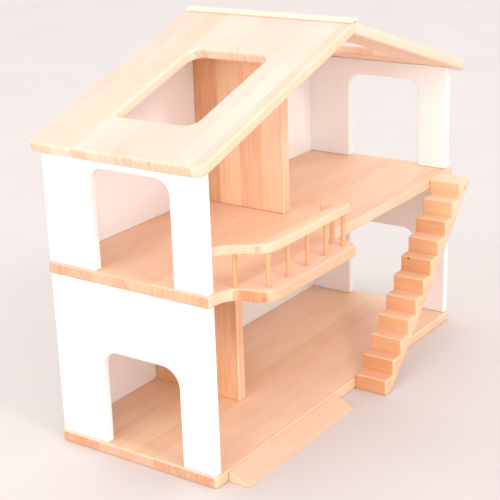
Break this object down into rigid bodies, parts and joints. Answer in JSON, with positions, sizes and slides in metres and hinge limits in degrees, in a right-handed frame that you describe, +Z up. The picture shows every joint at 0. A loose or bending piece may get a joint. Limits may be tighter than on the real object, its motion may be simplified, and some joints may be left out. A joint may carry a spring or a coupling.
{
  "type": "dollhouse",
  "caption": "Wooden dollhouse with an open front, white walls with doorways, a gable roof with skylights, a railed balcony, pull-off stairs and a loose ramp.",
  "frame": {"origin": "centre of the base board's underside, which rests on the ground", "axes": "+X along the open front to its right-hand end, +Y from the open front to the closed back, +Z up"},
  "size_m": [0.8006, 0.3645, 0.6247],
  "materials": {
    "board_wood": "oiled, satin",
    "pale_wood": "oiled, satin",
    "white_paint": "painted, satin"
  },
  "bodies": {
    "house": {"base_board": "board_wood", "mid_floor": "board_wood", "lower_partition": "board_wood", "upper_partition": "board_wood", "roof_board_left": "board_wood", "roof_board_right": "board_wood", "balcony_board": "pale_wood", "ridge_strip": "pale_wood", "handrail": "pale_wood", "baluster_1": "pale_wood", "baluster_2": "pale_wood", "baluster_3": "pale_wood", "baluster_4": "pale_wood", "baluster_5": "pale_wood", "baluster_6": "pale_wood", "baluster_7": "pale_wood", "lower_left_wall": "white_paint", "lower_right_wall": "white_paint", "upper_left_wall": "white_paint", "upper_right_wall": "white_paint", "lower_back_wall": "white_paint", "upper_back_wall": "white_paint", "base_dowel_left_back": "pale_wood", "base_dowel_left_front": "pale_wood", "base_dowel_right_back": "pale_wood", "base_dowel_right_front": "pale_wood", "floor_dowel_left_back": "pale_wood", "floor_dowel_left_front": "pale_wood", "floor_dowel_right_back": "pale_wood", "floor_dowel_right_front": "pale_wood", "partition_foot_dowel_back": "pale_wood", "partition_foot_dowel_front": "pale_wood", "partition_head_dowel_back": "pale_wood", "partition_head_dowel_front": "pale_wood", "roof_dowel_left_back": "pale_wood", "roof_dowel_left_front": "pale_wood", "roof_dowel_right_back": "pale_wood", "roof_dowel_right_front": "pale_wood", "upper_partition_dowel_back": "pale_wood", "upper_partition_dowel_front": "pale_wood"},
    "stairs": {"stairs": "board_wood", "stair_peg_upper": "pale_wood", "stair_peg_lower": "pale_wood"},
    "ramp": {"ramp": "pale_wood"}
  },
  "joints": [
    {"name": "stairs_pull", "type": "slide", "parent": "house", "child": "stairs", "axis": [0, -1, 0], "range_m": [0, 0.1]},
    {"name": "ramp_slide", "type": "slide", "parent": "house", "child": "ramp", "axis": [0, -1, 0], "range_m": [0, 0.15]}
  ]
}
